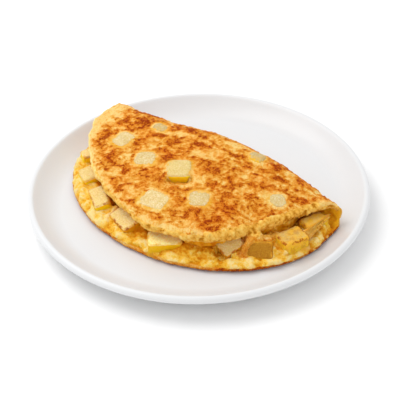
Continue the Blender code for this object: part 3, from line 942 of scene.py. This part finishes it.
# %% [markdown]
# The finish is built in layers, from the inside out: dry or moist potato, a glassy body for the
# slab that stayed raw looking, dark partly as painted shade, a film of egg, and the browned edges with
# their dark specks.

# %% Potato dice: finish
DRY, DRY_DEEP = (0.77, 0.575, 0.25), (0.70, 0.49, 0.178)
STARCH, BETWEEN_GRAINS = (0.90, 0.75, 0.47), (0.62, 0.40, 0.10)
DRY_SHADE_YELLOW = (0.80, 0.60, 0.165)
MOIST, MOIST_DEEP, AMBER = (0.98, 0.60, 0.006), (1.0, 0.69, 0.012), (0.66, 0.22, 0.004)
# painted shade: the glassy colours are dark partly because they copy the shaded face of the seventh front
# die
GLASSY_SHADED, GLASSY_SHADED_DEEP = (0.40, 0.145, 0.0), (0.50, 0.22, 0.001)
FILM, GOLDEN, SCORCHED = (0.84, 0.46, 0.035), (0.74, 0.27, 0.012), (0.36, 0.070, 0.004)


def potato_finish():
    graph = Graph("potato")
    pale = graph.attribute("pale")
    edge = graph.attribute("edge")
    grains = graph.noise(0.0009, 2.0, 0.5)
    cloudy = graph.noise(0.005, 3.0, 0.6)
    specks = graph.noise(0.0042, 4.0, 0.75)
    dry = graph.mix(graph.span(cloudy, 0.35, 0.65), DRY, DRY_DEEP)
    dry = graph.mix(graph.span(grains, 0.45, 0.66, 0.0, 0.75), dry, STARCH)
    dry = graph.mix(graph.span(grains, 0.30, 0.45, 0.5, 0.0), dry, BETWEEN_GRAINS)
    # painted shade: a yellower dry colour for the dice that stand in the shade under the upper leaf
    dry = graph.mix(graph.attribute("yellow"), dry, DRY_SHADE_YELLOW)
    # painted light: a lightness above 1 brightens the dry colour of the front dice in the upper leaf's
    # shadow
    dry = graph.mix(1.0, dry, graph.attribute("light"), 'MULTIPLY')
    dry.node.clamp_result = True
    moist = graph.mix(graph.span(cloudy, 0.3, 0.7), MOIST, MOIST_DEEP)
    moist = graph.mix(graph.attribute("amber"), moist, AMBER)
    body = graph.mix(graph.span(pale, 0.15, 0.60), moist, dry)
    glassy = graph.mix(graph.span(grains, 0.3, 0.7), GLASSY_SHADED, GLASSY_SHADED_DEEP)
    body = graph.mix(graph.attribute("glassy"), body, glassy)
    film = graph.ruffled(graph.attribute("film"), cloudy, 0.9)
    body = graph.mix(graph.span(film, 0.1, 0.9), body, FILM)
    dots = graph.math('MULTIPLY', graph.span(graph.noise(0.0020, 1.0), 0.66, 0.72), 0.8)
    golden = graph.math('MULTIPLY', edge, graph.span(specks, 0.38, 0.60))
    fried = graph.math('MULTIPLY', edge, graph.math('MAXIMUM', graph.span(specks, 0.49, 0.57), dots))
    body = graph.mix(graph.math('MULTIPLY', golden, 0.55), body, GOLDEN)
    body = graph.mix(graph.math('MULTIPLY', fried, 0.90), body, SCORCHED)
    crumbly = graph.math('ADD', graph.math('MULTIPLY', grains, 0.7), cloudy)
    return graph.finish(
        Base_Color=body,
        Roughness=graph.span(pale, 0.3, 0.7, 0.28, 0.55),
        Normal=graph.bump(crumbly, 0.0009, 0.8),
        Specular_IOR_Level=0.10,
        Subsurface_Weight=graph.span(pale, 0.3, 0.7, 0.7, 0.2),
        Subsurface_Radius=(0.004, 0.0025, 0.0006), Subsurface_Scale=0.8)


potato = potato_finish()
print(potato.name, len(potato.node_tree.nodes), "nodes")

# %% [markdown]
# The dice in the skin are flush with it.  Each is slightly crowned, so its rim dips under the
# egg along an uneven line, and a film of egg laps over that rim.  A knife cuts flat faces, so a
# die's edges are found as the places that face none of its six main directions.

# %% Potato dice: faces, rims and egg film
CROWN = 0.55 * MM                     # how far a flush die's face drops towards its rim
CROWN_RISE = 0.15 * MM


def face_directions(piece):
    """The six main directions of a die's flat faces, largest first."""
    found = []
    for polygon in sorted(piece.data.polygons, key=lambda p: -p.area):
        if all(polygon.normal.dot(other) < 0.8 for other in found):
            found.append(polygon.normal.copy())
        if len(found) == 6:
            break
    return np.array([list(d) for d in found])


def crowned(points, facing, directions, uneven):
    """For a flush die: how far each point rises, and the egg film over the rim."""
    outward = directions[np.argmax(directions[:, 2])]
    flat = [d for d in directions if abs(d @ outward) < 0.5]
    sides = [np.abs((points - points.mean(axis=0)) @ d) for d in (flat[0], np.cross(outward, flat[0]))]
    spread = sum((side / side.max()) ** 4 for side in sides) ** 0.25 + uneven
    rise = (CROWN_RISE - CROWN * np.clip(spread, 0.0, 1.25) ** 6) * ease(facing @ outward, 0.3, 0.8)
    return rise, 0.75 * ease(spread, 0.84, 1.04) * (facing @ outward > 0.7)


print("a flush die's rim lies %.1f mm lower than its middle" % (CROWN / MM))

# %% [markdown]
# Each die is a remeshed copy of its solid, grown a little into the egg around it, so that no gap
# shows.  A die with much egg on it is smoothed more, because the egg rounds its edges off.

# %% Potato dice
GRIP = 0.45 * MM                      # how far a die is grown into the egg around it
POTATO_VOXEL = 0.55 * MM
DIE_SMOOTHING, COATED_SMOOTHING = 9, 14
rng = random.Random(7)
for name in dice_names:
    light, film, browned, amber, glassy = COOKED[name]
    die = welded_copy(name, name.replace("potato_", "die_"))
    directions = face_directions(die)
    remesh(die, POTATO_VOXEL, COATED_SMOOTHING if film > 0.4 else DIE_SMOOTHING)
    base = read_points(die, "co")
    facing = read_points(die, "normal")
    along = np.abs(facing @ directions.T).max(axis=1)
    wavy = cloud(base, 6 * MM, 3, rng.random() * 9)
    rough = cloud(base, 1.6 * MM, 2, rng.random() * 9)
    relief = GRIP + (0.22 * wavy + 0.06 * rough) * MM
    film = film + 0.14 * wavy
    if name in top_dice:
        rise, rim_film = crowned(base, facing, directions, 0.23 * wavy + 0.12 * rough)
        relief, film = relief + rise, film + rim_film
    else:
        film = film + 0.45 * (1.0 - ease(along, 0.84, 0.985)) * (0.8 + 0.6 * wavy)
    move_points(die, base + facing * relief[:, None])
    store(die, "pale", ease(facing[:, 2], 0.20, 0.65))
    store(die, "edge", browned * np.maximum(1.0 - ease(along, 0.92, 0.999), 0.3 * (browned > 0.85)))
    store(die, "film", film)
    yellow = FRONT_SHADE_YELLOW if name in front_dice or name == "potato_top_3" else 0.0
    for quality, amount in (("light", light), ("yellow", yellow), ("amber", amber), ("glassy", glassy)):
        store(die, quality, np.full(len(base), amount))
    finish_piece(die, potato, name)

# %% [markdown]
# ## Sizes
#
# The visual model stays inside the box of the solid model.

# %% [markdown]
